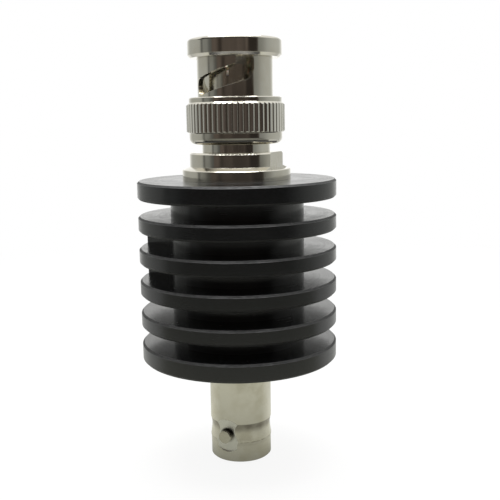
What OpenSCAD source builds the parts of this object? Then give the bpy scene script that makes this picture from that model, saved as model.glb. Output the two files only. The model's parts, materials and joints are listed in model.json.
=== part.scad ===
// Coaxial power attenuator: a finned round body with a bayonet plug on top and a bayonet jack below.
// The axis is +Z, and z = 0 is the open end of the jack, on which the part stands.

/* [Heat sink] */
// Outside diameter of the fins
sink_d = 30.5; // [27:0.1:40]
// Number of fins
fin_count = 6; // [5:1:9]
// Thickness of the two end fins
end_fin_t = 2.75; // [2:0.05:4]
// Thickness of the fins between them
fin_t = 2.35; // [1.5:0.05:3.5]
// Gap between two fins
fin_gap = 2.57; // [1.5:0.01:4]
// Diameter of the core between the fins
core_d = 20.56; // [19:0.02:23]
// Chamfer on every rim of the fins
fin_chamfer = 0.3; // [0.1:0.05:0.5]
// Diameter of the bore that holds the chip carrier
carrier_bore_d = 9; // [8.6:0.1:10]
// Distance of the flat label pad from the axis
pad_face = 13.3; // [12.6:0.1:14]
// Width of the label pad
pad_w = 14; // [10:0.1:15]
// Direction in which the label pad looks, in degrees from +X
pad_az = 137; // [100:1:160]

/* [Plug body] */
// Diameter of the flange on the heat sink
flange_d = 16.6; // [16:0.1:18.5]
// Thickness of that flange at its rim
flange_t = 1.6; // [1:0.05:2]
// Rise of the flange's sloped top, from its rim to the collar
flange_rise = 0.43; // [0.3:0.01:0.8]
// Diameter of the wrench collar
collar_d = 14.26; // [13.6:0.02:15.5]
// Height of the wrench collar
collar_t = 2.12; // [1.8:0.02:4]
// Distance across the two wrench flats
wrench_af = 13; // [12.4:0.1:13.4]
// Depth to which the flats run into the flange
flat_bite = 0.4; // [0.1:0.05:0.6]
// Direction of one wrench flat, in degrees from +X
flat_az = -21.5; // [-45:0.5:45]
// Diameter of the neck under the nut
neck_d = 10.36; // [10:0.02:11]
// Height of the neck, up to the shoulder that the nut rests on
neck_len = 2.35; // [2.2:0.05:4]
// Diameter of the spigot that the nut turns on
spigot_d = 7.9; // [7.6:0.05:8.1]
// Diameter of the threaded boss in the heat sink
boss_d = 12; // [11:0.1:13]
// Length of the threaded boss
boss_len = 5.5; // [4:0.1:7]

/* [Coupling nut] */
// Diameter of the rear ring
rear_d = 14.16; // [13.8:0.02:14.8]
// Height of the rear ring
rear_h = 1.65; // [1.2:0.05:2.5]
// Diameter over the knurl
knurl_d = 14.94; // [14.9:0.02:16]
// Height of the knurl
knurl_h = 4.56; // [3:0.02:6]
// Number of knurl ridges
knurl_count = 56; // [40:1:64]
// Depth of the knurl grooves
knurl_depth = 0.24; // [0.2:0.02:0.3]
// Diameter of the plain band in front of the knurl
band_d = 14.1; // [13.6:0.02:14.7]
// Height of that band
band_h = 0.74; // [0.5:0.02:1.5]
// Outside diameter of the slotted sleeve
sleeve_d = 11.4; // [11.2:0.02:12]
// Length of the slotted sleeve, band to front face
sleeve_len = 8.55; // [7.8:0.05:9]
// Bore of the sleeve
nut_bore_d = 9.9; // [9.8:0.02:10.1]
// Diameter of the short lead-in at the sleeve's mouth
mouth_d = 10.5; // [10.4:0.02:10.6]
// Length of that lead-in
mouth_len = 1.95; // [1.5:0.05:2]
// Thickness of the inner flange that runs on the spigot
nut_web_t = 0.85; // [0.6:0.05:1.2]
// Depth of the recess round the neck
skirt_depth = 1.15; // [0.5:0.05:1.2]
// Diameter of the pressed front ring
front_ring_d = 14.17; // [13.6:0.01:15]
// Height of the front ring
front_ring_h = 2.75; // [2.2:0.05:3]
// Height of the bayonet slots along the axis
cam_w = 2.72; // [2.3:0.02:2.9]
// Width of the straight entrance of a bayonet slot
cam_entry_w = 2.6; // [2.3:0.05:3]
// Turn from the entrance to the locked place, in degrees
cam_turn = 75; // [60:1:85]
// Rise of a bayonet slot in one degree of turn
cam_rise = 0.028; // [0.02:0.0005:0.03]
// Height of the locked lug over the band's front face
cam_lock_h = 1.6; // [1.5:0.05:2]
// Direction of one slot's entrance, in degrees from +X
cam_az = -75; // [-120:1:120]

/* [Nut washers] */
// Thickness of the flat washers
washer_t = 0.25; // [0.15:0.05:0.35]
// Free height of the wave washer
wave_h = 0.75; // [0.75:0.05:1]
// Thickness of the wave washer's strip
wave_t = 0.18; // [0.1:0.02:0.2]
// Number of waves
wave_count = 3; // [3:1:5]
// Thickness of the retaining ring
clip_t = 0.36; // [0.25:0.01:0.45]

/* [Plug contacts] */
// Outside diameter of the spring fingers at their tips
finger_d = 8.04; // [7.9:0.02:8.1]
// Wall of the spring fingers
finger_t = 0.5; // [0.35:0.05:0.6]
// Length of the finger tube in front of its shoulder
finger_len = 9; // [8:0.1:9.05]
// Length of the slits between the fingers
slit_len = 3.4; // [2.5:0.1:6]
// Width of those slits
slit_w = 0.32; // [0.2:0.02:0.5]
// Number of fingers
finger_count = 6; // [4:1:8]
// Thickness of the shoulder under the gasket
shoulder_t = 0.5; // [0.3:0.05:0.8]
// Thickness of the gasket
gasket_t = 0.7; // [0.5:0.05:0.9]
// Diameter of the centre pin
pin_d = 1.36; // [1.3:0.02:1.4]
// Height of the centre pin's tip below the finger tips
pin_recess = 0.2; // [0:0.05:1]

/* [Jack] */
// Length of the jack below the heat sink
jack_len = 16.35; // [15.5:0.05:20]
// Diameter of the jack's barrel
barrel_d = 9.68; // [9.6:0.01:9.7]
// Bore of the jack
jack_bore_d = 8.14; // [8.1:0.01:8.2]
// Depth of that bore
jack_bore_depth = 8.4; // [8:0.05:8.6]
// Height of the lip in front of the groove
lip_h = 3.1; // [2.9:0.05:3.4]
// Height of the shallow round groove
groove_h = 3.1; // [2:0.05:3.2]
// Height of the groove's steep end, next to the barrel
groove_steep_h = 0.4; // [0.4:0.05:1]
// Depth of that groove
groove_depth = 0.34; // [0.15:0.01:0.36]
// Height of the bayonet lugs over the open end
lug_z = 4.2; // [4.15:0.05:4.6]
// Diameter of the lugs
lug_d = 2; // [1.9:0.02:2.1]
// Distance across the two lugs
lug_span = 11; // [10.9:0.02:11.1]
// Direction of one lug, in degrees from +X
lug_az = -119; // [-150:1:-60]
// Radius of the round cut around each lug
lug_spot_r = 2.6; // [2:0.1:2.8]
// Distance of that cut's floor from the axis
lug_spot_floor = 4.5; // [4.35:0.05:4.6]
// Diameter of the insulator's nose in the bore
jack_nose_d = 4.72; // [4.4:0.02:4.9]
// Height of the nose's end over the open end
jack_nose_z = 3.3; // [3:0.1:5]
// Diameter of the socket contact
socket_d = 2.16; // [2:0.02:2.4]

/* [Resistor chip] */
// Length of the ceramic chip along the axis
chip_len = 9.5; // [8:0.1:10.5]
// Width of the chip
chip_w = 5; // [4:0.1:5.2]
// Thickness of the chip
chip_t = 1; // [0.8:0.05:1.2]
// Thickness of the chip's lid
lid_t = 0.6; // [0.4:0.05:0.8]
// Length of the chip's lid
lid_len = 5; // [4:0.1:6]
// Width of the contact ribbons
tab_w = 1.2; // [0.8:0.05:1.3]
// Thickness of the contact ribbons
tab_t = 0.15; // [0.1:0.01:0.2]

/* [Hidden] */

$fn = 128;

// Clearances
running = 0.08;         // nut on its spigot, radial
loose = 0.1;            // washers round the spigot, radial
slip = 0.02;            // pieces pushed into a bore, radial
side_room = 0.2;        // washers inside the nut, radial
skirt_room = 0.12;      // nut's recess round the neck, radial
end_room = 0.05;        // carrier between the two bosses
cut = 0.01;             // overshoot of a cutter past a face
far = 60;               // size of a cutter that only has to be large

// Colours
nickel = [0.73, 0.72, 0.68];
anodised = [0.07, 0.07, 0.075];
gold = [0.83, 0.66, 0.34];
ptfe = [0.93, 0.93, 0.91];
silicone = [0.4, 0.4, 0.4];
ceramic = [0.88, 0.87, 0.82];
brass = [0.78, 0.66, 0.4];
steel = [0.6, 0.6, 0.6];

// Heights, from the jack's open end up
sink_len = 2 * end_fin_t + (fin_count - 2) * fin_t + (fin_count - 1) * fin_gap;
sink_z = jack_len;
sink_top = sink_z + sink_len;
collar_z = sink_top + flange_t + flange_rise;
neck_z = collar_z + collar_t;
seat_z = neck_z + neck_len;
nut_z = seat_z - skirt_depth;
web_top = seat_z + nut_web_t;
wave_z = web_top + washer_t;
front_washer_z = wave_z + wave_h;
clip_z = front_washer_z + washer_t + slip;
clip_margin = 0.3;
spigot_top = clip_z + clip_t + clip_margin;
shoulder_z = spigot_top;
finger_z = shoulder_z + shoulder_t;
finger_top = finger_z + finger_len;
knurl_z = nut_z + rear_h;
band_z = knurl_z + knurl_h;
sleeve_z = band_z + band_h;
nut_top = sleeve_z + sleeve_len;
carrier_z = sink_z + boss_len + end_room;
carrier_top = sink_top - boss_len - end_room;
chip_z = (carrier_z + carrier_top - chip_len) / 2;
chip_top = chip_z + chip_len;

// Sizes that follow from the fits
web_bore_d = spigot_d + 2 * running;
washer_id = spigot_d + 2 * loose;
washer_od = nut_bore_d - 2 * side_room;
clip_wall = 0.35;
tail_d = spigot_d - 4 * clip_wall - 0.3;
tail_wall = 0.5;
line_d = tail_d - 2 * tail_wall;
tail_len = 4;
finger_id = finger_d - 2 * finger_t;
finger_root_d = finger_d - 0.2;
barrel_r = barrel_d / 2;
jack_line_d = 7;
jack_step_z = jack_len - 0.4;

// Place of the chip: its top lies just above the axis, at the flat of the pins
tab_y = 0.1;
chip_y = tab_y - chip_t;
carrier_room = 0.25;
pin_end_gap = 0.6;

// A ring or disc: outside and inside diameter, foot and height
module ring(od, id, z, h) {
    translate([0, 0, z]) difference() {
        cylinder(d = od, h = h);
        translate([0, 0, -cut]) cylinder(d = id, h = h + 2 * cut);
    }
}

// A disc with a chamfer on both rims
module chamfered_disc(d, h, c) {
    rotate_extrude() polygon([[0, 0], [d / 2 - c, 0], [d / 2, c], [d / 2, h - c], [d / 2 - c, h], [0, h]]);
}

// A flange that sits flat on the heat sink: a chamfer on its free rim, then a slope up to a middle part
module flange(c, rise, middle_r) {
    r = flange_d / 2;
    rotate_extrude() polygon([[0, 0], [r, 0], [r, flange_t - c], [r - c, flange_t],
        [middle_r, flange_t + rise], [0, flange_t + rise]]);
}

// The space outside a pair of wrench flats, from z up
module flats_cutter(z, h) {
    for (side = [0, 180])
        rotate([0, 0, flat_az + side]) translate([wrench_af / 2, -far / 2, z]) cube([far, far, h]);
}

function fin_z(i) = i == 0 ? 0 : end_fin_t + fin_gap + (i - 1) * (fin_t + fin_gap);
function fin_h(i) = (i == 0 || i == fin_count - 1) ? end_fin_t : fin_t;

// Turned black body: fins on a core, bored through and threaded at both ends, with a milled label pad
module heat_sink() {
    pad_fin = fin_count - 3;
    pad_z = fin_z(pad_fin - 1) + fin_h(pad_fin - 1);
    pad_h = 2 * fin_gap + fin_t;
    color(anodised) translate([0, 0, sink_z]) difference() {
        union() {
            cylinder(d = core_d, h = sink_len);
            for (i = [0 : fin_count - 1])
                translate([0, 0, fin_z(i)]) chamfered_disc(sink_d, fin_h(i), fin_chamfer);
            rotate([0, 0, pad_az]) translate([0, -pad_w / 2, pad_z]) cube([pad_face, pad_w, pad_h]);
        }
        rotate([0, 0, pad_az]) translate([pad_face, -far / 2, pad_z]) cube([far, far, pad_h]);
        translate([0, 0, -cut]) cylinder(d = carrier_bore_d, h = sink_len + 2 * cut);
        for (z = [-cut, sink_len - boss_len])
            translate([0, 0, z]) cylinder(d = boss_d, h = boss_len + cut);
    }
}

// One turned piece: threaded boss, flange, wrench collar, neck and the spigot for the nut
module plug_body() {
    rim_c = 0.1;
    collar_c = 0.25;
    collar_r = collar_d / 2;
    color(nickel) difference() {
        union() {
            translate([0, 0, sink_top - boss_len]) cylinder(d = boss_d - 2 * slip, h = boss_len);
            translate([0, 0, sink_top]) flange(rim_c, flange_rise, collar_r);
            translate([0, 0, collar_z - cut]) cylinder(r = collar_r, h = collar_t - collar_c + cut);
            translate([0, 0, neck_z - collar_c])
                cylinder(r1 = collar_r, r2 = collar_r - collar_c, h = collar_c);
            translate([0, 0, neck_z - cut]) cylinder(d = neck_d, h = neck_len + cut);
            translate([0, 0, seat_z - cut]) cylinder(d = spigot_d, h = spigot_top - seat_z + cut);
        }
        flats_cutter(collar_z - flat_bite, collar_t + flat_bite);
        ring(far, spigot_d - 2 * clip_wall, clip_z - slip, clip_t + 2 * slip);
        translate([0, 0, sink_top - boss_len - cut]) cylinder(d = line_d, h = far);
        translate([0, 0, spigot_top - tail_len]) cylinder(d = tail_d, h = far);
    }
}

// Height of a slot's lower edge over the locked lug's lower edge, at an angle from the locked place
cam_mid_r = (sleeve_d + nut_bore_d) / 4;
cam_corner = 1.1;
cam_corner_deg = cam_corner / cam_mid_r * 180 / PI;
cam_entry_half_deg = asin(cam_entry_w / 2 / cam_mid_r);
cam_end_deg = cam_turn + cam_entry_half_deg;
cam_step = cam_end_deg / 16;
function cam_corner_rise(a) =
    let (t = max(0, a - (cam_end_deg - cam_corner_deg)) / 180 * PI * cam_mid_r)
    cam_corner - sqrt(max(0, cam_corner * cam_corner - t * t));
function cam_low(a) = -cam_w / 2 + cam_rise * a + cam_corner_rise(a);
function cam_high(a) = cam_w / 2 + cam_rise * a;

// Cutter of one bayonet slot: a round end, short slanted steps along the helix and the straight entrance
module cam_slot_cutter() {
    lock_z = sleeve_z + cam_lock_h;
    reach_in = nut_bore_d / 2 - 1;
    reach = sleeve_d / 2 + 0.5 - reach_in;
    rotate([0, 0, cam_az - cam_turn]) translate([reach_in, 0, lock_z])
        rotate([0, 90, 0]) cylinder(d = cam_w, h = reach, $fn = 48);
    for (i = [0 : 15]) {
        mid = (i + 0.5) * cam_step;
        half = sleeve_d / 2 * tan(cam_step / 2) * 1.02;
        lower = [cam_low(i * cam_step), cam_low((i + 1) * cam_step)];
        upper = [cam_high(i * cam_step), cam_high((i + 1) * cam_step)];
        rotate([0, 0, cam_az - cam_turn + mid]) translate([reach_in, 0, lock_z])
            rotate([90, 0, 90]) linear_extrude(height = reach)
                polygon([[-half, lower[0]], [half, lower[1]], [half, upper[1]], [-half, upper[0]]]);
    }
    entry_z = lock_z + cam_rise * cam_turn;
    rotate([0, 0, cam_az]) translate([reach_in, -cam_entry_w / 2, entry_z])
        cube([reach, cam_entry_w, far]);
}

// Outline of the knurl across the axis: straight, evenly rounded ridges
module ridge_outline() {
    steps = 8;
    polygon([for (k = [0 : knurl_count * steps - 1])
        let (a = k * 360 / (knurl_count * steps))
        let (r = knurl_d / 2 - knurl_depth * (1 - cos(k * 360 / steps)) / 2)
        [r * cos(a), r * sin(a)]]);
}

// Bayonet nut: rounded rear ring, knurl, band and the sleeve with two bayonet slots, in one piece
module coupling_nut() {
    round_r = 0.95;
    foot_c = 0.3;
    band_c = 0.12;
    rear_r = rear_d / 2;
    band_r = band_d / 2;
    sleeve_r = sleeve_d / 2;
    blank_r = knurl_d / 2 + cut;
    color(nickel) difference() {
        translate([0, 0, nut_z]) intersection() {
            rotate_extrude() polygon(concat([[0, 0]],
                [for (a = [-90 : 15 : 0])
                    [rear_r - round_r + round_r * cos(a), round_r + round_r * sin(a)]],
                [[rear_r, rear_h], [blank_r, rear_h + foot_c],
                 [blank_r, rear_h + knurl_h + band_r - blank_r], [band_r, rear_h + knurl_h],
                 [band_r, sleeve_z - nut_z - band_c], [band_r - band_c, sleeve_z - nut_z],
                 [sleeve_r, sleeve_z - nut_z], [sleeve_r, nut_top - nut_z], [0, nut_top - nut_z]]));
            translate([0, 0, -cut]) linear_extrude(height = far) ridge_outline();
        }
        translate([0, 0, nut_z - cut]) cylinder(d = neck_d + 2 * skirt_room, h = skirt_depth + cut);
        translate([0, 0, nut_z]) cylinder(d = web_bore_d, h = far);
        translate([0, 0, web_top]) cylinder(d = nut_bore_d, h = far);
        translate([0, 0, nut_top - mouth_len]) cylinder(d = mouth_d, h = far);
        for (side = [0, 180]) rotate([0, 0, side]) cam_slot_cutter();
    }
}

// Ring pressed over the sleeve's front end, which closes the entrances of the slots on the outside
module nut_front_ring() {
    r = front_ring_d / 2;
    inner = sleeve_d / 2;
    top_round = 0.46;
    c = 0.42;
    lead = 0.25;
    color(nickel) translate([0, 0, nut_top - front_ring_h]) rotate_extrude() polygon(concat(
        [[inner, 0], [r - c, 0], [r, c]],
        [for (a = [0 : 15 : 90])
            [r - top_round + top_round * cos(a), front_ring_h - top_round + top_round * sin(a)]],
        [[inner + lead, front_ring_h], [inner, front_ring_h - lead]]));
}

// Flat washer on the nut's inner flange, which moves along with the nut
module rear_thrust_washer() {
    color(steel) ring(washer_od, washer_id, web_top, washer_t);
}

// Flat washer on the far side of the wave washer
module front_thrust_washer() {
    color(steel) ring(washer_od, washer_id, front_washer_z, washer_t);
}

// Spring washer: a flat strip ring bent into even waves
module wave_washer() {
    steps = wave_count * 20;
    swing = (wave_h - wave_t) / 2;
    function place(r, a, top) = [r * cos(a), r * sin(a),
        wave_z + swing * (1 + sin(wave_count * a)) + (top ? wave_t : 0)];
    points = [for (i = [0 : steps - 1]) let (a = i * 360 / steps)
        each [place(washer_id / 2, a, false), place(washer_od / 2, a, false),
              place(washer_od / 2, a, true), place(washer_id / 2, a, true)]];
    faces = [for (i = [0 : steps - 1]) let (p = 4 * i, q = 4 * ((i + 1) % steps))
        each [for (e = [0 : 3]) let (f = (e + 1) % 4) each
            [[p + e, q + e, q + f], [p + e, q + f, p + f]]]];
    color(steel) polyhedron(points = points, faces = [for (f = faces) [f[2], f[1], f[0]]]);
}

// Open clip in the spigot's groove, which holds the washers on the plug body
module retaining_ring() {
    gap_deg = 50;
    inner = spigot_d / 2 - clip_wall + slip;
    outer = washer_od / 2 - side_room;
    color(steel) translate([0, 0, clip_z]) rotate([0, 0, gap_deg / 2 + 40])
        rotate_extrude(angle = 360 - gap_deg) translate([inner, 0]) square([outer - inner, clip_t]);
}

// Slit spring contact: a tail in the spigot, the gasket's shoulder and the ring of fingers
module plug_outer_contact() {
    slit_az = -106;
    shoulder_r = washer_od / 2;
    bead = 0.6;
    color(nickel) difference() {
        rotate_extrude() polygon([[line_d / 2, spigot_top - tail_len + end_room],
            [tail_d / 2 - slip, spigot_top - tail_len + end_room],
            [tail_d / 2 - slip, shoulder_z], [shoulder_r, shoulder_z], [shoulder_r, finger_z],
            [finger_root_d / 2, finger_z], [finger_root_d / 2, finger_top - 3 * bead],
            [finger_d / 2, finger_top - bead], [finger_d / 2, finger_top - bead / 2],
            [finger_d / 2 - bead / 4, finger_top], [finger_id / 2, finger_top], [finger_id / 2, finger_z],
            [line_d / 2, finger_z]]);
        for (i = [0 : finger_count - 1])
            rotate([0, 0, slit_az + i * 360 / finger_count])
                translate([line_d / 2, -slit_w / 2, finger_top - slit_len]) cube([far, slit_w, far]);
    }
}

// Soft seal that the end of the mating barrel presses on
module plug_gasket() {
    c = 0.1;
    inner = finger_root_d / 2 + loose;
    outer = washer_od / 2;
    color(silicone) rotate_extrude() polygon([[inner, finger_z], [outer, finger_z],
        [outer, finger_z + gasket_t - c], [outer - c, finger_z + gasket_t],
        [inner + c, finger_z + gasket_t], [inner, finger_z + gasket_t - c]]);
}

// Pale insulator of the plug: a rod through the body, a disc in the fingers and a thin collar
module plug_insulator() {
    rod_r = line_d / 2 - slip;
    disc_r = finger_id / 2 - slip;
    floor_z = finger_z + 3.8;
    collar_top = floor_z + 2.5;
    color(ptfe) rotate_extrude() polygon([[pin_d / 2 + slip, plug_rod_z], [rod_r, plug_rod_z],
        [rod_r, finger_z], [disc_r, finger_z], [disc_r, collar_top], [jack_nose_d / 2 + 0.14, collar_top],
        [jack_nose_d / 2 + 0.14, floor_z], [pin_d / 2 + slip, floor_z]]);
}
plug_rod_z = sink_top - 1.1;

// Gold contact of the plug: the long pin, its collar behind the insulator and a flatted tail
module plug_pin() {
    tip_z = finger_top - pin_recess;
    tail_z = chip_top + pin_end_gap;
    collar_h = 1.4;
    collar_r = 1.1;
    point = 0.5;
    r = pin_d / 2;
    color(gold) difference() {
        rotate_extrude() polygon(concat([[0, tail_z], [r, tail_z], [r, plug_rod_z - collar_h],
            [collar_r, plug_rod_z - collar_h], [collar_r, plug_rod_z], [r, plug_rod_z], [r, tip_z - point]],
            [for (a = [15 : 15 : 90]) [r * cos(a), tip_z - point + point * sin(a)]]));
        translate([-far / 2, tab_y, tail_z - cut]) cube([far, far, tab_land + cut]);
    }
}
tab_land = 1.2;

// Lower half of the brass carrier: the chip is soldered on its flat
module carrier_base() {
    color(brass) intersection() {
        translate([0, 0, carrier_z]) cylinder(d = carrier_bore_d - 2 * slip, h = carrier_top - carrier_z);
        translate([-far / 2, -far + chip_y, carrier_z]) cube([far, far, carrier_top - carrier_z]);
    }
}

// Upper half of the carrier, with the channel that the line runs through
module carrier_cover() {
    channel_w = chip_w + 2 * carrier_room;
    channel_top = tab_y + lid_t + 0.8;
    h = carrier_top - carrier_z;
    color(brass) difference() {
        intersection() {
            translate([0, 0, carrier_z]) cylinder(d = carrier_bore_d - 2 * slip, h = h);
            translate([-far / 2, chip_y, carrier_z]) cube([far, far, h]);
        }
        translate([-channel_w / 2, chip_y - cut, carrier_z - cut])
            cube([channel_w, channel_top - chip_y + cut, h + 2 * cut]);
    }
}

// Ceramic plate with the resistor film on its upper side
module chip_substrate() {
    color(ceramic) translate([-chip_w / 2, chip_y, chip_z]) cube([chip_w, chip_t, chip_len]);
}

// Ceramic lid over the film
module chip_lid() {
    inset = 0.3;
    color(ceramic) translate([-chip_w / 2 + inset, tab_y, (chip_z + chip_top - lid_len) / 2])
        cube([chip_w - 2 * inset, lid_t, lid_len]);
}

// Ribbon from a contact's flat to the chip's end pad, between two heights
module ribbon(z0, z1) {
    color(gold) translate([-tab_w / 2, tab_y, z0]) cube([tab_w, tab_t, z1 - z0]);
}
tab_reach = 1.6;

// Ribbon between the plug's pin and the chip
module input_tab() {
    ribbon(chip_top - tab_reach, chip_top + pin_end_gap + tab_land);
}

// Ribbon between the jack's socket and the chip
module output_tab() {
    ribbon(chip_z - pin_end_gap - tab_land, chip_z + tab_reach);
}

// One turned piece: barrel with groove and two lugs, flange with wrench flats and the threaded boss
module jack_body() {
    rim = 0.2;
    flange_z = jack_len - flange_t;
    groove_floor_z = lip_h + groove_h - groove_steep_h;
    groove_r = (groove_steep_h * groove_steep_h + groove_depth * groove_depth) / (2 * groove_depth);
    slope_h = groove_h - groove_steep_h;
    slope = [for (i = [10 : -1 : 0]) let (t = i / 10)
        [barrel_r - groove_depth * pow(1 - t, 1.6), groove_floor_z - t * slope_h]];
    color(nickel) difference() {
        union() {
            difference() {
                rotate_extrude() difference() {
                    polygon(concat([[0, 0], [barrel_r - rim, 0], [barrel_r, rim]], slope,
                        [[barrel_r, groove_floor_z], [barrel_r, flange_z + cut], [0, flange_z + cut]]));
                    translate([barrel_r - groove_depth, groove_floor_z]) intersection() {
                        translate([groove_r, 0]) circle(r = groove_r);
                        square([far, far]);
                    }
                }
                for (side = [0, 180]) rotate([0, 0, lug_az + side]) translate([lug_spot_floor, 0, lug_z])
                    rotate([0, 90, 0]) cylinder(r = lug_spot_r, h = far);
            }
            for (side = [0, 180]) rotate([0, 0, lug_az + side]) translate([0, 0, lug_z])
                rotate([0, 90, 0]) cylinder(d = lug_d, h = lug_span / 2, $fn = 64);
            translate([0, 0, jack_len]) mirror([0, 0, 1]) flange(rim, 0, barrel_r);
            translate([0, 0, jack_len - cut]) cylinder(d = boss_d - 2 * slip, h = boss_len + cut);
        }
        flats_cutter(flange_z - far + flange_t - flat_bite, far);
        translate([0, 0, -cut]) cylinder(d = jack_bore_d, h = jack_bore_depth + cut);
        translate([0, 0, -cut]) cylinder(d1 = jack_bore_d + 2 * rim, d2 = jack_bore_d, h = rim + cut);
        translate([0, 0, jack_bore_depth - cut])
            cylinder(d = jack_line_d, h = jack_step_z - jack_bore_depth + cut);
        translate([0, 0, jack_step_z - cut]) cylinder(d = line_d, h = far);
    }
}

// Pale insulator of the jack: a body in the line bore and a nose that stands in the mouth
module jack_insulator() {
    body_r = jack_line_d / 2 - slip;
    c = 0.15;
    hole_r = socket_d / 2 + slip;
    nose_r = jack_nose_d / 2;
    color(ptfe) rotate_extrude() polygon([[hole_r, jack_nose_z], [nose_r - c, jack_nose_z],
        [nose_r, jack_nose_z + c], [nose_r, jack_bore_depth], [body_r, jack_bore_depth],
        [body_r, jack_step_z], [hole_r, jack_step_z]]);
}

// Gold contact of the jack: a slit socket, a collar behind the insulator and a flatted tail
module jack_socket() {
    tip_z = jack_nose_z + 0.1;
    socket_r = socket_d / 2;
    hole_r = pin_d / 2 + slip;
    hole_depth = 5.6;
    slit_depth = 3.6;
    slit = 0.2;
    collar_r = 1.5;
    collar_h = 0.6;
    tail_r = pin_d / 2;
    tail_top = chip_z - pin_end_gap;
    c = 0.12;
    color(gold) difference() {
        rotate_extrude() polygon([[hole_r + c, tip_z], [socket_r - c, tip_z], [socket_r, tip_z + c],
            [socket_r, jack_step_z], [collar_r, jack_step_z], [collar_r, jack_step_z + collar_h],
            [tail_r, jack_step_z + collar_h], [tail_r, tail_top], [0, tail_top], [0, tip_z + hole_depth],
            [hole_r, tip_z + hole_depth], [hole_r, tip_z + c]]);
        for (a = [45, 135]) rotate([0, 0, a])
            translate([-far / 2, -slit / 2, tip_z - cut]) cube([far, slit, slit_depth]);
        translate([-far / 2, tab_y, tail_top - tab_land]) cube([far, far, far]);
    }
}

heat_sink();
plug_body();
coupling_nut();
nut_front_ring();
rear_thrust_washer();
wave_washer();
front_thrust_washer();
retaining_ring();
plug_outer_contact();
plug_gasket();
plug_insulator();
plug_pin();
carrier_base();
carrier_cover();
chip_substrate();
chip_lid();
input_tab();
output_tab();
jack_body();
jack_insulator();
jack_socket();
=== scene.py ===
import json
import math

import bmesh
import bpy
from mathutils import Matrix, Vector


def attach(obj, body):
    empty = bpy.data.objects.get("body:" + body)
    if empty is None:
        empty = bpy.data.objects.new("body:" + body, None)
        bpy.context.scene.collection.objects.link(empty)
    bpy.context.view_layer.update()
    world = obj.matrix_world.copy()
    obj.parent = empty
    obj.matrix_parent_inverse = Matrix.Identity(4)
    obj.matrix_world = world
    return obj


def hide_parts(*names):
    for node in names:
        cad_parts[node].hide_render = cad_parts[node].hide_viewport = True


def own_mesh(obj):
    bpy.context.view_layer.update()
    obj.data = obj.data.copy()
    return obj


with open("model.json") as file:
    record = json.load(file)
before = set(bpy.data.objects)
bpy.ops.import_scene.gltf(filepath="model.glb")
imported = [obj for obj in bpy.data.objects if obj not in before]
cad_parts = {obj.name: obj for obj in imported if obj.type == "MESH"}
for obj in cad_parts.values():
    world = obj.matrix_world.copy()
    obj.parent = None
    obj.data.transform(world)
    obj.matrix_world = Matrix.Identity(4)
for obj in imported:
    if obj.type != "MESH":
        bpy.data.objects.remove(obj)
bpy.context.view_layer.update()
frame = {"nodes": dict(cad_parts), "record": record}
NODES = frame["nodes"]
MM = 0.001

# Sizes are in mm from here on, and directions in degrees from +X

# The wrench flats of the plug body
FLAT_AZIMUTH = -21.5
FLAT_DISTANCE = 6.5

# The nut's knurl: its lower end, its height, and the radius over its crests
KNURL_BOTTOM = 51.1
KNURL_HEIGHT = 4.56
KNURL_RADIUS = 7.47

# The fins, their narrow chamfers, and the core between them
FIN_RADIUS = 15.25
FIN_CHAMFER = 0.3
CORE_RADIUS = 10.28

# The jack's lugs, and the round faces cut round them
LUG_AZIMUTH = -119.0
LUG_HEIGHT = 4.2
LUG_RADIUS = 1.0
LUG_END = 5.5
SPOT_RADIUS = 2.6
SPOT_DISTANCE = 4.5

# The jack's barrel, bore, lip, ridge and groove: radii, heights and depths
BARREL_RADIUS = 4.84
BARREL_TOP = 14.6
BORE_RADIUS = 4.07
BORE_DEPTH = 8.4
LINE_RADIUS = 3.5
RIM = 0.2
LIP_RADIUS = 4.77
RIDGE_SLOPE = 0.3
RIDGE_LAND = 0.2
GROOVE_LOW = 3.3
GROOVE_DEEP = 5.0
GROOVE_TOP = 6.2
GROOVE_DEPTH = 0.19
GROOVE_EDGE = 0.08

# How far a cutter reaches from the axis, and how far a joined piece sinks into the barrel
CUTTER_REACH = 8
SUNK = 0.1

# Width over which the edges of plated pieces look broken
EDGE = 0.06

# Linear colours
NICKEL = (0.70, 0.675, 0.60, 1)
NICKEL_WARM = (0.64, 0.60, 0.50, 1)
NICKEL_TAN = (0.58, 0.54, 0.42, 1)
NICKEL_FROSTED = (0.86, 0.85, 0.79, 1)
# Crests worn bright by fingers, with a painted highlight on them as well
WORN_CREST_AND_HIGHLIGHT = (0.96, 0.93, 0.86, 1)
# Painted shade for the grooves of the knurl and of the jack
PAINTED_SHADE_FILM = (0.24, 0.215, 0.18, 1)
# A dark line along the lower edge of the jack's groove
DARK_EDGE_LINE = (0.16, 0.14, 0.11, 1)
# Painted shade at the lugs' roots
PAINTED_LUG_ROOT_SHADE = (0.05, 0.045, 0.035, 1)
GOLD = (0.86, 0.60, 0.25, 1)
BRASS = (0.66, 0.47, 0.20, 1)
BRASS_DARK = (0.5, 0.34, 0.14, 1)
STEEL = (0.42, 0.41, 0.40, 1)
ANODISED = (0.0040, 0.0044, 0.0050, 1)
# The core between the fins, painted lighter than the fins
ANODISED_CORE_PAINTED_LIGHTER = (0.03, 0.031, 0.033, 1)
SCRATCHED_DYE = (0.03, 0.03, 0.031, 1)
PTFE = (0.80, 0.80, 0.77, 1)
PTFE_SHADED = (0.74, 0.74, 0.71, 1)
SILICONE = (0.16, 0.16, 0.16, 1)
SILICONE_DARK = (0.11, 0.11, 0.11, 1)
CERAMIC = (0.80, 0.79, 0.73, 1)
CERAMIC_SHADED = (0.72, 0.71, 0.65, 1)
PAPER = (0.86, 0.86, 0.85, 1)
WHITE = (1, 1, 1, 1)
BLACK = (0, 0, 0, 1)


# Small helpers for building node trees

def feed(tree, value, socket):
    """Links another socket to this one, or sets it to a number or a tuple."""
    if isinstance(value, bpy.types.NodeSocket):
        tree.links.new(value, socket)
    else:
        socket.default_value = value


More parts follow.
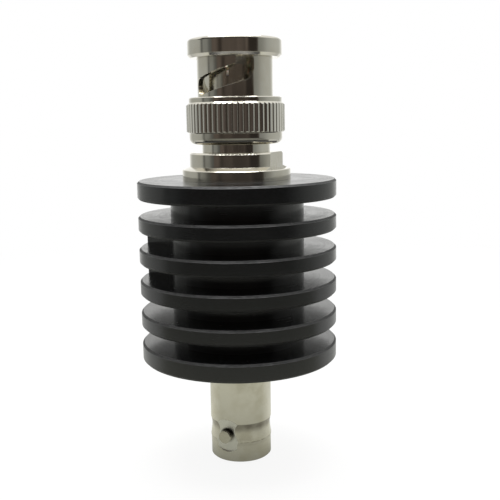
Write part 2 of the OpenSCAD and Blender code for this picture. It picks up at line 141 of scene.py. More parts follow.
def math_node(tree, operation, *values):
    """A Math node. The values are sockets or numbers."""
    node = tree.nodes.new("ShaderNodeMath")
    node.operation = operation
    for socket, value in zip(node.inputs, values):
        feed(tree, value, socket)
    return node.outputs[0]


def plus(tree, a, b):
    return math_node(tree, "ADD", a, b)


def minus(tree, a, b):
    return math_node(tree, "SUBTRACT", a, b)


def times(tree, a, b):
    return math_node(tree, "MULTIPLY", a, b)


def map_range(tree, value, low, high, to_low=0.0, to_high=1.0, smooth=False):
    """Turns value between low and high into to_low to to_high, clamped."""
    node = tree.nodes.new("ShaderNodeMapRange")
    node.interpolation_type = "SMOOTHSTEP" if smooth else "LINEAR"
    feed(tree, value, node.inputs["Value"])
    for name, number in (("From Min", low), ("From Max", high), ("To Min", to_low), ("To Max", to_high)):
        node.inputs[name].default_value = number
    return node.outputs["Result"]


def mix_node(tree, kind, factor, a, b):
    """A Mix node for colours (RGBA) or vectors (VECTOR). Each value is a socket or a plain value."""
    node = tree.nodes.new("ShaderNodeMix")
    node.data_type = kind
    feed(tree, factor, node.inputs["Factor"])
    for name, value in (("A", a), ("B", b)):
        feed(tree, value, next(s for s in node.inputs if s.name == name and s.type == kind))
    return next(s for s in node.outputs if s.type == kind)


def mix_colour(tree, factor, a, b):
    return mix_node(tree, "RGBA", factor, a, b)


def vector_node(tree, operation, vector, **values):
    """A Vector Math node on one vector, with its other inputs set by name."""
    node = tree.nodes.new("ShaderNodeVectorMath")
    node.operation = operation
    feed(tree, vector, node.inputs[0])
    for name, value in values.items():
        feed(tree, value, node.inputs[name])
    return node.outputs[0]


def noise(tree, vector, scale, detail=2.0, roughness=0.5):
    """A noise texture's value, read at vector, with scale in cycles per unit of vector."""
    node = tree.nodes.new("ShaderNodeTexNoise")
    feed(tree, vector, node.inputs["Vector"])
    for name, number in (("Scale", scale), ("Detail", detail), ("Roughness", roughness)):
        node.inputs[name].default_value = number
    return node.outputs[0]


def combine(tree, x, y, z):
    """A Combine XYZ node. Each part is a socket or a number."""
    node = tree.nodes.new("ShaderNodeCombineXYZ")
    for socket, value in zip(node.inputs, (x, y, z)):
        feed(tree, value, socket)
    return node.outputs[0]


def root_of_squares(tree, a, b):
    """The length of the two sides' diagonal."""
    return math_node(tree, "SQRT", plus(tree, times(tree, a, a), times(tree, b, b)))


def cylinder_place(tree):
    """The place on the part in mm: x, y, z and the distance from the axis."""
    coordinates = tree.nodes.new("ShaderNodeTexCoord")
    split = tree.nodes.new("ShaderNodeSeparateXYZ")
    feed(tree, coordinates.outputs["Object"], split.inputs[0])
    x, y, z = (times(tree, part, 1 / MM) for part in split.outputs)
    return x, y, z, root_of_squares(tree, x, y)


# Shader node groups: each puts out heights and masks only

def new_group(name, inputs, outputs):
    """An empty shader node group with named float inputs and outputs; returns the tree and its two ends."""
    tree = bpy.data.node_groups.new(name, "ShaderNodeTree")
    for title, default in inputs:
        socket = tree.interface.new_socket(name=title, in_out="INPUT", socket_type="NodeSocketFloat")
        socket.default_value = default
    for title in outputs:
        tree.interface.new_socket(name=title, in_out="OUTPUT", socket_type="NodeSocketFloat")
    start = tree.nodes.new("NodeGroupInput").outputs
    end = tree.nodes.new("NodeGroupOutput").inputs
    return tree, start, end


def build_turning_marks():
    """Fine rings left by the lathe: on walls they run round at each height, on faces at each radius."""
    tree, start, end = new_group("turning_marks", (("Pitch", 0.12), ("Waver", 0.5)), ("Height", "Mask"))
    x, y, z, radius = cylinder_place(tree)
    turns = math_node(tree, "DIVIDE", plus(tree, z, radius), start["Pitch"])
    place = combine(tree, times(tree, x, 0.05), times(tree, y, 0.05), turns)
    fine = noise(tree, place, 1.0, 2.0, 0.6)
    broad = noise(tree, place, 0.23, 1.0, 0.5)
    feed(tree, plus(tree, fine, times(tree, broad, start["Waver"])), end["Height"])
    feed(tree, map_range(tree, fine, 0.35, 0.65), end["Mask"])
    return tree


def build_handling_wear():
    """Cloudy smears and hairline scratches from handling."""
    tree, start, end = new_group("handling_wear", (("Scale", 1.0), ("Scratches", 0.5)), ("Smear", "Scratch"))
    x, y, z, radius = cylinder_place(tree)
    place = vector_node(tree, "SCALE", combine(tree, x, y, z), Scale=start["Scale"])
    cloud = noise(tree, place, 0.35, 3.0, 0.55)
    feed(tree, map_range(tree, cloud, 0.35, 0.7, smooth=True), end["Smear"])
    stretch = tree.nodes.new("ShaderNodeMapping")
    stretch.inputs["Rotation"].default_value = (0.5, 0.3, 0.9)
    stretch.inputs["Scale"].default_value = (9.0, 0.5, 1.1)
    feed(tree, place, stretch.inputs["Vector"])
    lines = noise(tree, stretch.outputs[0], 1.0, 2.0, 0.5)
    feed(tree, times(tree, map_range(tree, lines, 0.66, 0.70), start["Scratches"]), end["Scratch"])
    return tree


def build_rim_chatter():
    """Chatter left by the tool on the fins' narrow chamfers: which places are on them, and how rough."""
    tree, start, end = new_group("rim_chatter", (("Inner", FIN_RADIUS - FIN_CHAMFER), ("Outer", FIN_RADIUS)),
                                 ("Chamfer", "Chatter"))
    x, y, z, radius = cylinder_place(tree)
    past = map_range(tree, minus(tree, radius, start["Inner"]), 0.0, 0.03)
    short = map_range(tree, minus(tree, start["Outer"], radius), 0.01, 0.04)
    chamfer = math_node(tree, "MINIMUM", past, short)
    feed(tree, chamfer, end["Chamfer"])
    around = noise(tree, combine(tree, x, y, times(tree, z, 3.0)), 1.7, 3.0, 0.7)
    feed(tree, times(tree, chamfer, map_range(tree, around, 0.35, 0.65)), end["Chatter"])
    return tree


def build_speckle():
    """Fine grain of a matt or moulded surface."""
    tree, start, end = new_group("speckle", (("Grain", 12.0),), ("Height", "Mask"))
    x, y, z, radius = cylinder_place(tree)
    place = vector_node(tree, "SCALE", combine(tree, x, y, z), Scale=start["Grain"])
    grain = noise(tree, place, 1.0, 3.0, 0.6)
    feed(tree, grain, end["Height"])
    feed(tree, map_range(tree, grain, 0.4, 0.65), end["Mask"])
    return tree


def facing_planes(tree, direction, distance):
    """The two planes at a distance from the axis that look along a direction and back: a mask of them, and
    the place along them, the height and the distance from the axis. direction and distance are sockets."""
    x, y, z, radius = cylinder_place(tree)
    turn = math_node(tree, "RADIANS", direction)
    cosine = math_node(tree, "COSINE", turn)
    sine = math_node(tree, "SINE", turn)
    out = plus(tree, times(tree, x, cosine), times(tree, y, sine))
    along = minus(tree, times(tree, y, cosine), times(tree, x, sine))
    off = math_node(tree, "ABSOLUTE", minus(tree, math_node(tree, "ABSOLUTE", out), distance))
    return map_range(tree, off, 0.02, 0.04, 1.0, 0.0), along, z, radius


def build_spot_faces():
    """The round faces cut round the two lugs: where they are, a fine grain on them, and the lugs' roots,
    where painted shade goes.
    """
    tree, start, end = new_group("spot_faces", (("Direction", LUG_AZIMUTH), ("Distance", SPOT_DISTANCE),
                                                ("Height", LUG_HEIGHT)), ("Face", "Grain", "RootShade"))
    plane, along, z, radius = facing_planes(tree, start["Direction"], start["Distance"])
    up = minus(tree, z, start["Height"])
    ring = root_of_squares(tree, along, up)
    face = times(tree, plane, map_range(tree, ring, SPOT_RADIUS + 0.02, SPOT_RADIUS + 0.06, 1.0, 0.0))
    feed(tree, face, end["Face"])
    swirl = combine(tree, times(tree, ring, 9.0), times(tree, along, 0.4), times(tree, up, 0.4))
    feed(tree, times(tree, face, noise(tree, swirl, 1.0, 2.0, 0.6)), end["Grain"])
    close = map_range(tree, ring, LUG_RADIUS, LUG_RADIUS + 0.35, 1.0, 0.0, smooth=True)
    around = map_range(tree, ring, LUG_RADIUS - 0.1, LUG_RADIUS - 0.03)
    upper = map_range(tree, up, -0.4, 0.5, 0.25, 1.0)
    inner = map_range(tree, radius, LUG_END - 0.4, LUG_END - 0.2, 1.0, 0.0)
    feed(tree, times(tree, times(tree, close, around), times(tree, upper, inner)), end["RootShade"])
    return tree


def build_milled_flats():
    """Upright streaks left by the cutter on the two wrench flats: where they are, and their heights."""
    tree, start, end = new_group("milled_flats", (("Direction", FLAT_AZIMUTH), ("Distance", FLAT_DISTANCE)),
                                 ("Flat", "Height", "Streak"))
    flat, along, z, radius = facing_planes(tree, start["Direction"], start["Distance"])
    feed(tree, flat, end["Flat"])
    lines = noise(tree, combine(tree, times(tree, along, 5.0), times(tree, z, 0.25), 0.0), 1.0, 3.0, 0.6)
    feed(tree, times(tree, flat, lines), end["Height"])
    feed(tree, times(tree, flat, map_range(tree, lines, 0.4, 0.62)), end["Streak"])
    return tree


def build_knurl_polish_and_shade():
    """Crests of the knurl, rubbed bright by fingers and given a painted highlight, and the grooves between
    them, which get painted shade.
    """
    tree, start, end = new_group("knurl_polish_and_shade", (("Bottom", KNURL_BOTTOM), ("Height", KNURL_HEIGHT),
                                                  ("Radius", KNURL_RADIUS)), ("Crest", "Groove"))
    x, y, z, radius = cylinder_place(tree)
    up = minus(tree, z, start["Bottom"])
    above = map_range(tree, up, 0.0, 0.1)
    below = map_range(tree, minus(tree, start["Height"], up), 0.1, 0.35)
    outside = map_range(tree, radius, 6.8, 6.9)
    knurled = times(tree, times(tree, above, below), outside)
    depth = minus(tree, start["Radius"], radius)
    feed(tree, times(tree, knurled, map_range(tree, depth, 0.11, 0.19, 1.0, 0.0)), end["Crest"])
    feed(tree, times(tree, knurled, map_range(tree, depth, 0.19, 0.29)), end["Groove"])
    return tree


def build_groove_shade():
    """Painted shade in the jack's round groove, darkest under its upper edge, and a broken dark line along
    its lower edge.
    """
    tree, start, end = new_group("groove_shade_and_line", (("Bottom", GROOVE_LOW - 0.1), ("Top", GROOVE_TOP - 0.01)),
                                 ("Shade", "Line"))
    x, y, z, radius = cylinder_place(tree)
    outside = map_range(tree, radius, 4.3, 4.4)
    cloud = noise(tree, combine(tree, x, y, z), 0.8, 3.0, 0.6)
    rise = map_range(tree, minus(tree, z, start["Bottom"]), 0.0, 0.5)
    fall = map_range(tree, minus(tree, start["Top"], z), 0.0, 0.08)
    deep = map_range(tree, z, GROOVE_DEEP - 0.5, GROOVE_DEEP + 0.7, 0.1, 1.0, smooth=True)
    shade = times(tree, times(tree, rise, fall), times(tree, outside, deep))
    feed(tree, times(tree, shade, map_range(tree, cloud, 0.3, 0.7, 0.6, 1.0)), end["Shade"])
    wander = times(tree, minus(tree, cloud, 0.5), 0.12)
    off = math_node(tree, "ABSOLUTE", minus(tree, plus(tree, z, wander), start["Bottom"]))
    broken = map_range(tree, noise(tree, combine(tree, x, y, 0.0), 1.9, 2.0, 0.6), 0.4, 0.6)
    line = times(tree, map_range(tree, off, 0.03, 0.09, 1.0, 0.0), broken)
    feed(tree, times(tree, line, outside), end["Line"])
    return tree


TURNING = build_turning_marks()
WEAR = build_handling_wear()
CHATTER = build_rim_chatter()
FLATS = build_milled_flats()
SPOTS = build_spot_faces()
GROOVE_SHADE = build_groove_shade()
KNURL = build_knurl_polish_and_shade()
SPECKLE = build_speckle()


# Materials

def place_group(tree, group, **values):
    """A group node in a material, with its inputs set by name; returns its outputs."""
    node = tree.nodes.new("ShaderNodeGroup")
    node.node_tree = group
    for name, value in values.items():
        node.inputs[name].default_value = value
    return node.outputs


def new_material(name):
    """A material with one Principled shader; returns it, its tree and the shader."""
    material = bpy.data.materials.new(name)
    material.use_nodes = True
    tree = material.node_tree
    return material, tree, tree.nodes["Principled BSDF"]


def broken_edges(tree, width):
    """The surface's normal, with edges that look broken over a width."""
    edges = tree.nodes.new("ShaderNodeBevel")
    edges.samples = 6
    edges.inputs["Radius"].default_value = width * MM
    return edges.outputs["Normal"]


def worn_flat(tree, normal, share):
    """Turns a normal towards straight out from the axis by share, as on crests that hands have worn flat."""
    coordinates = tree.nodes.new("ShaderNodeTexCoord")
    level = tree.nodes.new("ShaderNodeVectorMath")
    level.operation = "MULTIPLY"
    level.inputs[1].default_value = (1, 1, 0)
    feed(tree, coordinates.outputs["Object"], level.inputs[0])
    outward = tree.nodes.new("ShaderNodeVectorTransform")
    outward.vector_type = "NORMAL"
    outward.convert_from = "OBJECT"
    outward.convert_to = "WORLD"
    feed(tree, level.outputs[0], outward.inputs[0])
    return vector_node(tree, "NORMALIZE", mix_node(tree, "VECTOR", share, normal, outward.outputs[0]))


def bump_from(tree, shader, height, strength, depth, normal=None):
    """Feeds a height of some depth into the shader's normal, over the surface's own or another normal."""
    bump = tree.nodes.new("ShaderNodeBump")
    bump.inputs["Strength"].default_value = strength
    bump.inputs["Distance"].default_value = depth * MM
    feed(tree, height, bump.inputs["Height"])
    if normal:
        feed(tree, normal, bump.inputs["Normal"])
    feed(tree, bump.outputs["Normal"], shader.inputs["Normal"])


def turned_metal(name, colour, dark, low, high, marks, wear_scale=1.0, pitch=0.12, edge=0.0, flats=False,
                 knurl=False, jack_shade_and_spots=False):
    """Plated or bare turned metal with lathe rings, smears and hairlines. low and high limit its roughness,
    and marks is how strong the rings are. edge is how wide its edges look broken. The last three switches add
    the wrench flats' streaks; the knurl's worn crests with a painted highlight, and painted shade in its
    grooves;
    and the jack's painted shade in its groove, a dark line along the groove's lower edge, frosted spot faces
    and painted shade at the lugs' roots."""
    material, tree, shader = new_material(name)
    shader.inputs["Metallic"].default_value = 1.0
    turning = place_group(tree, TURNING, Pitch=pitch)
    wear = place_group(tree, WEAR, Scale=wear_scale, Scratches=0.6)
    rough = math_node(tree, "MAXIMUM", times(tree, wear["Smear"], 0.7), wear["Scratch"])
    rough = map_range(tree, plus(tree, rough, times(tree, turning["Mask"], 0.3)), 0.0, 1.0, low, high)
    skin = mix_colour(tree, times(tree, wear["Smear"], 0.5), colour, dark)
    height = turning["Height"]
    normal = broken_edges(tree, edge) if edge else None
    if flats:
        milled = place_group(tree, FLATS)
        rough = plus(tree, rough, times(tree, milled["Streak"], 0.16))
        turned = times(tree, height, minus(tree, 1.0, milled["Flat"]))
        height = plus(tree, turned, times(tree, milled["Height"], 6.0))
    if knurl:
        ridges = place_group(tree, KNURL)
        # The crests are worn bright, and this colour also paints a highlight on them
        skin = mix_colour(tree, ridges["Crest"], skin, WORN_CREST_AND_HIGHLIGHT)
        # Painted shade in the grooves between the knurl's ridges
        skin = mix_colour(tree, times(tree, ridges["Groove"], 0.5), skin, PAINTED_SHADE_FILM)
        normal = worn_flat(tree, normal, times(tree, ridges["Crest"], 0.68))
    if jack_shade_and_spots:
        groove_dark = place_group(tree, GROOVE_SHADE)
        # Painted shade in the jack's groove, darkest under its upper edge, and a dark line along its lower
        # edge
        skin = mix_colour(tree, times(tree, groove_dark["Shade"], 0.95), skin, PAINTED_SHADE_FILM)
        skin = mix_colour(tree, times(tree, groove_dark["Line"], 0.55), skin, DARK_EDGE_LINE)
        spots = place_group(tree, SPOTS)
        skin = mix_colour(tree, spots["Face"], skin, NICKEL_FROSTED)
        # Painted shade at the lugs' roots, strongest on their upper side
        skin = mix_colour(tree, spots["RootShade"], skin, PAINTED_LUG_ROOT_SHADE)
        frost = plus(tree, times(tree, spots["Face"], 0.12), times(tree, spots["Grain"], 0.2))
        rough = plus(tree, rough, frost)
    feed(tree, rough, shader.inputs["Roughness"])
    feed(tree, skin, shader.inputs["Base Color"])
    bump_from(tree, shader, height, marks, 0.004, normal)
    return material


def anodised_black():
    """Black anodised aluminium: a dark dyed layer, semi-gloss, with lathe rings and paler scratches, and the
    core between the fins painted lighter.
    """
    material, tree, shader = new_material("black_anodised")
    shader.inputs["IOR"].default_value = 1.62
    turning = place_group(tree, TURNING, Pitch=0.16)
    wear = place_group(tree, WEAR, Scale=0.8, Scratches=0.5)
    rough = plus(tree, times(tree, wear["Smear"], 0.5), times(tree, turning["Mask"], 0.5))
    rough = map_range(tree, rough, 0.0, 1.0, 0.18, 0.28)
    chatter = place_group(tree, CHATTER)
    dull = plus(tree, times(tree, chatter["Chamfer"], 0.22), times(tree, chatter["Chatter"], 0.3))
    feed(tree, plus(tree, rough, dull), shader.inputs["Roughness"])
    x, y, z, radius = cylinder_place(tree)
    beyond_core = map_range(tree, minus(tree, radius, CORE_RADIUS), 0.12, 2.22)
    # The core between the fins is painted lighter than the fins
    skin = mix_colour(tree, beyond_core, ANODISED_CORE_PAINTED_LIGHTER, ANODISED)
    skin = mix_colour(tree, times(tree, wear["Scratch"], 0.35), skin, SCRATCHED_DYE)
    feed(tree, skin, shader.inputs["Base Color"])
    bump_from(tree, shader, turning["Height"], 0.25, 0.004)
    return material


def plain_finish(name, colour, dark, roughness, grain, strength, **sockets):
    """A non-metal with a fine grain and slight changes of tone. sockets are the shader's own inputs, named
    with _ for a space."""
    material, tree, shader = new_material(name)
    for socket, value in sockets.items():
        shader.inputs[socket.replace("_", " ")].default_value = value
    speckle = place_group(tree, SPECKLE, Grain=grain)
    wear = place_group(tree, WEAR, Scale=1.5, Scratches=0.3)
    tone = plus(tree, times(tree, speckle["Mask"], 0.5), times(tree, wear["Smear"], 0.5))
    feed(tree, mix_colour(tree, tone, colour, dark), shader.inputs["Base Color"])
    feed(tree, map_range(tree, tone, 0.0, 1.0, roughness, roughness + 0.12), shader.inputs["Roughness"])
    bump_from(tree, shader, speckle["Height"], strength, 0.01)
    return material


MATERIALS = {
    "anodised_aluminium": anodised_black(),
    "nickel_plate": turned_metal("nickel_body", NICKEL, NICKEL_WARM, 0.06, 0.16, 0.12, edge=EDGE, flats=True),
    "nickel_nut": turned_metal("nickel_nut", NICKEL, NICKEL_WARM, 0.06, 0.17, 0.12, edge=EDGE, knurl=True),
    "nickel_jack": turned_metal("nickel_jack", NICKEL, NICKEL_TAN, 0.15, 0.27, 0.25, edge=EDGE, jack_shade_and_spots=True),
    "nickel_contact": turned_metal("nickel_contact", NICKEL_WARM, NICKEL, 0.15, 0.3, 0.2),
    "spring_steel": turned_metal("spring_steel", STEEL, NICKEL_WARM, 0.2, 0.4, 0.3),
    "gold_plate": turned_metal("gold_plate", GOLD, BRASS, 0.12, 0.26, 0.15, wear_scale=2.0, pitch=0.08),
    "brass_block": turned_metal("machined_brass", BRASS, BRASS_DARK, 0.22, 0.4, 0.35),
    "silicone": plain_finish("silicone_rubber", SILICONE, SILICONE_DARK, 0.5, 10.0, 0.3),
    "ptfe": plain_finish("white_ptfe", PTFE, PTFE_SHADED, 0.35, 6.0, 0.15,
                         Subsurface_Weight=0.15, Subsurface_Scale=0.6 * MM),
    "ceramic": plain_finish("white_ceramic", CERAMIC, CERAMIC_SHADED, 0.45, 14.0, 0.3),
}


def dress_cad_nodes():
    """Gives every CAD node the material of its slot in the record."""
    for part in frame["record"]["subparts"]:
        node = NODES[part["node"]]
        node.data.materials.clear()
        node.data.materials.append(MATERIALS[part["material_slot"]])


# Pieces

def new_object(name, work):
    """An object from a bmesh, which is freed."""
    mesh = bpy.data.meshes.new(name)
    work.to_mesh(mesh)
    work.free()
    made = bpy.data.objects.new(name, mesh)
    bpy.context.scene.collection.objects.link(made)
    return made


def merged_copy(name, node):
    """A new object with a copy of a CAD node's mesh, whose loose triangles are merged."""
    work = bmesh.new()
    work.from_mesh(NODES[node].data)
    bmesh.ops.remove_doubles(work, verts=work.verts, dist=0.0005 * MM)
    return new_object(name, work)


def turned_ring(name, profile):
    """A closed outline of (radius, height) points turned round the axis."""
    work = bmesh.new()
    points = [work.verts.new((radius * MM, 0, height * MM)) for radius, height in profile]
    edges = [work.edges.new(pair) for pair in zip(points, points[1:] + points[:1])]
    bmesh.ops.spin(work, geom=points + edges, cent=(0, 0, 0), axis=(0, 0, 1), angle=math.tau, steps=180,
                   use_merge=True)
    bmesh.ops.recalc_face_normals(work, faces=work.faces)
    return new_object(name, work)


def cylinders_at_lugs(name, radius, inner, outer):
    """Two cylinders that lie across the axis, one at each lug, between two distances from the axis."""
    work = bmesh.new()
    for side in (0, 180):
        place = (Matrix.Rotation(math.radians(LUG_AZIMUTH + side), 4, "Z")
                 @ Matrix.Translation(((inner + outer) / 2 * MM, 0, LUG_HEIGHT * MM))
                 @ Matrix.Rotation(math.radians(90), 4, "Y"))
        bmesh.ops.create_cone(work, cap_ends=True, segments=96, radius1=radius * MM, radius2=radius * MM,
                              depth=(outer - inner) * MM, matrix=place)
    return new_object(name, work)


def combine_solids(body, other, operation):
    """Cuts the other solid out of the body, or joins it on, and removes the other solid."""
    modifier = body.modifiers.new("combine", "BOOLEAN")
    modifier.operation = operation
    modifier.solver = "EXACT"
    modifier.object = other
    bpy.context.view_layer.update()
    seen = body.evaluated_get(bpy.context.evaluated_depsgraph_get())
    mesh = bpy.data.meshes.new_from_object(seen)
    body.modifiers.clear()
    body.data = mesh
    bpy.data.objects.remove(other)


def steps(low, high, count):
    """The ends of count equal steps from low to high."""
    return [low + k / count * (high - low) for k in range(count + 1)]


def barrel_outline():
    """The jack's barrel in section: down the bore, round the open end, and up over lip, ridge and groove."""
    ridge = GROOVE_LOW - RIDGE_LAND
    bore = [(LINE_RADIUS, BARREL_TOP), (LINE_RADIUS, BORE_DEPTH), (BORE_RADIUS, BORE_DEPTH),
            (BORE_RADIUS, RIM), (BORE_RADIUS + RIM, 0)]
    lip = [(LIP_RADIUS - RIM, 0)] + [(LIP_RADIUS, height) for height in steps(RIM, ridge - RIDGE_SLOPE, 10)]
    falling = [(BARREL_RADIUS - GROOVE_DEPTH * (1 - (1 - t) ** 1.5),
                GROOVE_LOW + t * (GROOVE_DEEP - GROOVE_LOW)) for t in steps(0, 1, 8)]
    rising = [(BARREL_RADIUS - GROOVE_DEPTH * (1 - t * t),
               GROOVE_DEEP + t * (GROOVE_TOP - GROOVE_DEEP)) for t in steps(0, 1, 6)[1:]]
    wall = [(BARREL_RADIUS, height) for height in steps(GROOVE_TOP + GROOVE_EDGE, BARREL_TOP, 24)]
    return bore + lip + [(BARREL_RADIUS, ridge)] + falling + rising + wall


def jack_shell():
    """The jack with its barrel turned again: a thinner lip, a thin ridge over it and a rounder groove."""
    shell = merged_copy("jack_shell", "jack_body")
    below = turned_ring("below", [(1, -1), (CUTTER_REACH, -1), (CUTTER_REACH, BARREL_TOP), (1, BARREL_TOP)])
    combine_solids(shell, below, "DIFFERENCE")
    barrel = turned_ring("barrel", barrel_outline())
    spots = cylinders_at_lugs("spots", SPOT_RADIUS, SPOT_DISTANCE, CUTTER_REACH)
    combine_solids(barrel, spots, "DIFFERENCE")
    lugs = cylinders_at_lugs("lugs", LUG_RADIUS, SPOT_DISTANCE - SUNK, LUG_END)
    combine_solids(barrel, lugs, "UNION")
    combine_solids(shell, barrel, "UNION")
    shell.data.shade_smooth()
    shell.data.set_sharp_from_angle(angle=math.radians(10))
    shell.data.materials.clear()
    shell.data.materials.append(MATERIALS["nickel_jack"])
    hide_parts("jack_body")
    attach(shell, "attenuator")


def wave_spring():
    """The wave washer, merged from its CAD node. The real washer flattens towards the retaining ring when the
    nut is pulled; this copy keeps its shape.
    """
    spring = merged_copy("wave_spring", "wave_washer")
    spring.data.materials.append(MATERIALS["spring_steel"])
    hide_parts("wave_washer")
    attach(spring, "attenuator")
    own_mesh(spring)


dress_cad_nodes()
jack_shell()
wave_spring()


# The studio: a pale floor, a white surround that is dim in front, and a soft lamp above

# Tone of the floor in polished metal, by its distance from the axis, which the floor glows with in
# reflections:
# a painted shadow close round the part, bright beyond it, and dim towards the camera, where the room is unlit
FLOOR_PAINTED_IN_FRONT = ((0, 0.22), (5, 0.25), (7, 0.31), (10, 0.39), (19, 0.455), (24, 0.5), (32, 0.56),
                  (41, 0.62), (60, 0.5), (80, 0.38), (105, 0.3), (150, 0.25), (190, 0.23))
FLOOR_PAINTED_BESIDE = ((0, 0.5), (5, 0.7), (7, 0.84), (10, 0.93), (16, 0.93), (21, 0.83), (27, 0.76), (34, 0.73),
                (41, 0.74), (90, 0.71), (190, 0.42))

# Tone of the walls by azimuth, in degrees from the camera's side towards +X
WALLS = ((-180, 0.5), (-138, 0.46), (-121, 0.47), (-98, 0.45), (-93, 0.43), (-89.5, 0.34), (-87, 0.14),
         (-84, 0.14), (-80.5, 0.265), (-69, 0.24), (-64, 0.15), (-57, 0.1), (58, 0.25), (66, 0.27),
         (76, 0.33), (86, 0.42), (99, 0.48), (119, 0.52), (180, 0.54))

# Tone of the dim room in front by azimuth, at the level of the part and a little above it
ROOM_LEVEL = ((-60, 0.105), (-44, 0.105), (-39, 0.06), (-36, 0.045), (-33, 0.05), (-29, 0.07), (-12, 0.07),
              (-6, 0.05), (8, 0.047), (20, 0.05), (28, 0.06), (33, 0.044), (36, 0.028), (52, 0.028),
              (60, 0.06))
ROOM_ABOVE = ((-60, 0.105), (-49, 0.11), (-43, 0.095), (-39, 0.06), (-36.5, 0.04), (-33, 0.038),
              (-30.5, 0.06), (-28, 0.09), (-3, 0.09), (5, 0.085), (10, 0.105), (15, 0.095), (24.6, 0.075),
              (29.7, 0.118), (32, 0.09), (34.8, 0.035), (38, 0.028), (53, 0.028), (60, 0.06))

# Tints of those tones, and the plain colours of the rest
FRONT_TINT = (1.0, 1.01, 0.87)
BESIDE_TINT = (0.99, 1.0, 0.91)
FAR_TINT = (1.0, 1.01, 0.98)
WALL_TINT = (0.98, 1.0, 0.95)
ROOM_TINT = (1.22, 1.0, 0.87)
BEHIND = (1.15, 1.15, 1.13, 1)
TABLE_EDGE = (0.045, 0.045, 0.043, 1)
TABLE = (0.25, 0.25, 0.23, 1)
DARK_ABOVE = (0.045, 0.042, 0.038, 1)
CEILING = (1.0, 1.0, 0.98, 1)

# The sheet of paper in metres: half sizes, and its centre behind and just under the part
FLOOR_HALF_SIZE = (0.9, 0.55, 1)
FLOOR_CENTRE = (0, 0.36, -0.00002)

# The camera of the photograph, fitted to the outlines of the turned diameters
CAMERA_PLACE = (0, -121.34 * MM, 52.68 * MM)
CAMERA_PITCH = math.radians(9.23)
CAMERA_YAW = math.radians(0.881)
CAMERA_ROLL = math.radians(0.897)
FOCAL_PIXELS = 786.53
IMAGE_PIXELS = 500


def direction_band(tree, azimuth, low, high, soft):
    """1 where the azimuth lies between low and high degrees, with soft edges."""
    rise = map_range(tree, azimuth, low - soft, low + soft, smooth=True)
    fall = map_range(tree, azimuth, high - soft, high + soft, 1.0, 0.0, smooth=True)
    return times(tree, rise, fall)


def tone_ramp(tree, value, stops, tint):
    """A colour from (value, tone) stops, with a tint."""
    first, last = stops[0][0], stops[-1][0]
    node = tree.nodes.new("ShaderNodeValToRGB")
    feed(tree, map_range(tree, value, first, last), node.inputs[0])
    elements = node.color_ramp.elements
    while len(elements) < len(stops):
        elements.new(1.0)
    for element, (place, tone) in zip(elements, stops):
        element.position = (place - first) / (last - first)
        element.color = (tone * tint[0], tone * tint[1], tone * tint[2], 1)
    return node.outputs["Color"]


def mix_shaders(tree, factor, a, b):
    """A Mix Shader node's output."""
    node = tree.nodes.new("ShaderNodeMixShader")
    for socket, value in zip(node.inputs, (factor, a, b)):
        feed(tree, value, socket)
    return node.outputs[0]


def surround():
    """The world: white to the eye and behind, grey walls at the sides, and a dim room in front."""
    world = bpy.data.worlds.new("studio")
    bpy.context.scene.world = world
    world.use_nodes = True
    tree = world.node_tree
    coordinates = tree.nodes.new("ShaderNodeTexCoord")
    split = tree.nodes.new("ShaderNodeSeparateXYZ")
    feed(tree, coordinates.outputs["Generated"], split.inputs[0])
    x, y, z = split.outputs
    azimuth = math_node(tree, "DEGREES", math_node(tree, "ARCTAN2", x, times(tree, y, -1.0)))
    behind = map_range(tree, math_node(tree, "ABSOLUTE", azimuth), 132.0, 178.0, smooth=True)
    colour = mix_colour(tree, behind, tone_ramp(tree, azimuth, WALLS, WALL_TINT), BEHIND)

    level = tone_ramp(tree, azimuth, ROOM_LEVEL, ROOM_TINT)
    above = tone_ramp(tree, azimuth, ROOM_ABOVE, ROOM_TINT)
    room = mix_colour(tree, map_range(tree, z, 0.045, 0.075), level, above)
    streaks = noise(tree, combine(tree, times(tree, azimuth, 0.2), 0.0, 0.0), 1.0, 2.0, 0.6)
    room = mix_colour(tree, map_range(tree, streaks, 0.3, 0.7, 0.2, 0.0), room, BLACK)
    colour = mix_colour(tree, direction_band(tree, azimuth, -56.0, 58.5, 1.5), colour, room)

    low_down = map_range(tree, z, -0.05, -0.10, smooth=True)
    low_front = times(tree, low_down, direction_band(tree, azimuth, -70.0, 70.0, 12.0))
    table = mix_colour(tree, map_range(tree, z, -0.14, -0.3), TABLE_EDGE, TABLE)
    colour = mix_colour(tree, low_front, colour, table)

    toward = direction_band(tree, azimuth, -100.0, 62.0, 4.0)
    over_head = times(tree, map_range(tree, z, 0.17, 0.25, smooth=True), toward)
    colour = mix_colour(tree, over_head, colour, DARK_ABOVE)
    high_up = map_range(tree, z, 0.58, 0.72, smooth=True)
    high_behind = times(tree, map_range(tree, z, 0.3, 0.55, smooth=True), minus(tree, 1.0, toward))
    colour = mix_colour(tree, math_node(tree, "MAXIMUM", high_up, high_behind), colour, CEILING)

    background = tree.nodes["Background"]
    feed(tree, colour, background.inputs["Color"])
    backdrop = tree.nodes.new("ShaderNodeBackground")
    backdrop.inputs["Color"].default_value = WHITE
    seen = tree.nodes.new("ShaderNodeLightPath").outputs["Is Camera Ray"]
    shown = mix_shaders(tree, seen, background.outputs[0], backdrop.outputs[0])
    feed(tree, shown, tree.nodes["World Output"].inputs["Surface"])


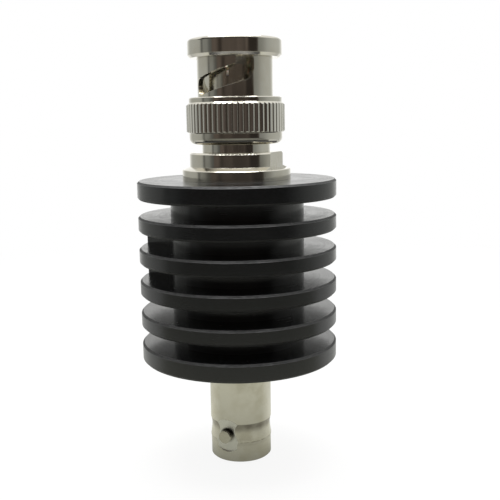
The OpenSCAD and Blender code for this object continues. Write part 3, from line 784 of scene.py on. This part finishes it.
def studio_floor():
    """A sheet of paper under the part: white to the eye, and in reflections it glows with painted tones, a
    painted shadow round the part and dimmer towards the camera.
    """
    sheet = bmesh.new()
    bmesh.ops.create_grid(sheet, x_segments=1, y_segments=1, size=1)
    bmesh.ops.scale(sheet, vec=FLOOR_HALF_SIZE, verts=sheet.verts)
    bmesh.ops.translate(sheet, vec=FLOOR_CENTRE, verts=sheet.verts)
    floor = new_object("studio_floor", sheet)
    material, tree, paper = new_material("white_paper")
    paper.inputs["Roughness"].default_value = 0.9
    paper.inputs["Specular IOR Level"].default_value = 0.1
    paper.inputs["Base Color"].default_value = PAPER

    x, y, z, radius = cylinder_place(tree)
    # In reflections the floor glows with painted tones: a painted shadow round the part, dimmer towards the
    # camera
    in_front = tone_ramp(tree, radius, FLOOR_PAINTED_IN_FRONT, FRONT_TINT)
    beside = mix_colour(tree, map_range(tree, radius, 45.0, 70.0),
                        tone_ramp(tree, radius, FLOOR_PAINTED_BESIDE, BESIDE_TINT),
                        tone_ramp(tree, radius, FLOOR_PAINTED_BESIDE, FAR_TINT))
    toward = map_range(tree, y, -10.0, 20.0, 1.0, 0.0, smooth=True)
    tone = mix_colour(tree, toward, beside, in_front)

    path = tree.nodes.new("ShaderNodeLightPath").outputs
    seen = path["Is Camera Ray"]
    glow = tree.nodes.new("ShaderNodeEmission")
    feed(tree, mix_colour(tree, seen, tone, WHITE), glow.inputs["Color"])
    white = times(tree, seen, map_range(tree, radius, 15.0, 220.0, 0.9, 1.0))
    glowing = math_node(tree, "MAXIMUM", white, path["Is Glossy Ray"])
    surface = mix_shaders(tree, glowing, paper.outputs[0], glow.outputs[0])

    clear = tree.nodes.new("ShaderNodeBsdfTransparent")
    past_edge = times(tree, map_range(tree, radius, 160.0, 188.0), minus(tree, 1.0, seen))
    surface = mix_shaders(tree, past_edge, surface, clear.outputs[0])
    feed(tree, surface, tree.nodes["Material Output"].inputs["Surface"])
    floor.data.materials.append(material)


def soft_lamp(name, place, target, size, watts):
    """A square area lamp that looks at target."""
    data = bpy.data.lights.new(name, "AREA")
    data.size = size
    data.energy = watts
    lamp = bpy.data.objects.new(name, data)
    lamp.location = place
    lamp.rotation_euler = (Vector(target) - Vector(place)).to_track_quat("-Z", "Y").to_euler()
    bpy.context.scene.collection.objects.link(lamp)


def photo_camera():
    """The photograph's camera."""
    data = bpy.data.cameras.new("photo_camera")
    data.sensor_width = 36
    data.lens = FOCAL_PIXELS / IMAGE_PIXELS * data.sensor_width
    data.clip_start = 0.001
    data.clip_end = 100
    camera = bpy.data.objects.new("photo_camera", data)
    bpy.context.scene.collection.objects.link(camera)
    forward = Vector((math.sin(CAMERA_YAW) * math.cos(CAMERA_PITCH),
                      math.cos(CAMERA_YAW) * math.cos(CAMERA_PITCH), -math.sin(CAMERA_PITCH)))
    right = forward.cross(Vector((0, 0, 1))).normalized()
    up = right.cross(forward)
    up_rolled = up * math.cos(CAMERA_ROLL) + right * math.sin(CAMERA_ROLL)
    right_rolled = forward.cross(up_rolled)
    turn = Matrix((right_rolled, up_rolled, -forward)).transposed()
    camera.matrix_world = Matrix.Translation(CAMERA_PLACE) @ turn.to_4x4()
    bpy.context.scene.camera = camera


surround()
studio_floor()
soft_lamp("overhead_lamp", place=(0.0, 0.12, 0.62), target=(0, 0, 0.03), size=0.5, watts=5.0)
photo_camera()
bpy.context.scene.view_settings.view_transform = "Standard"
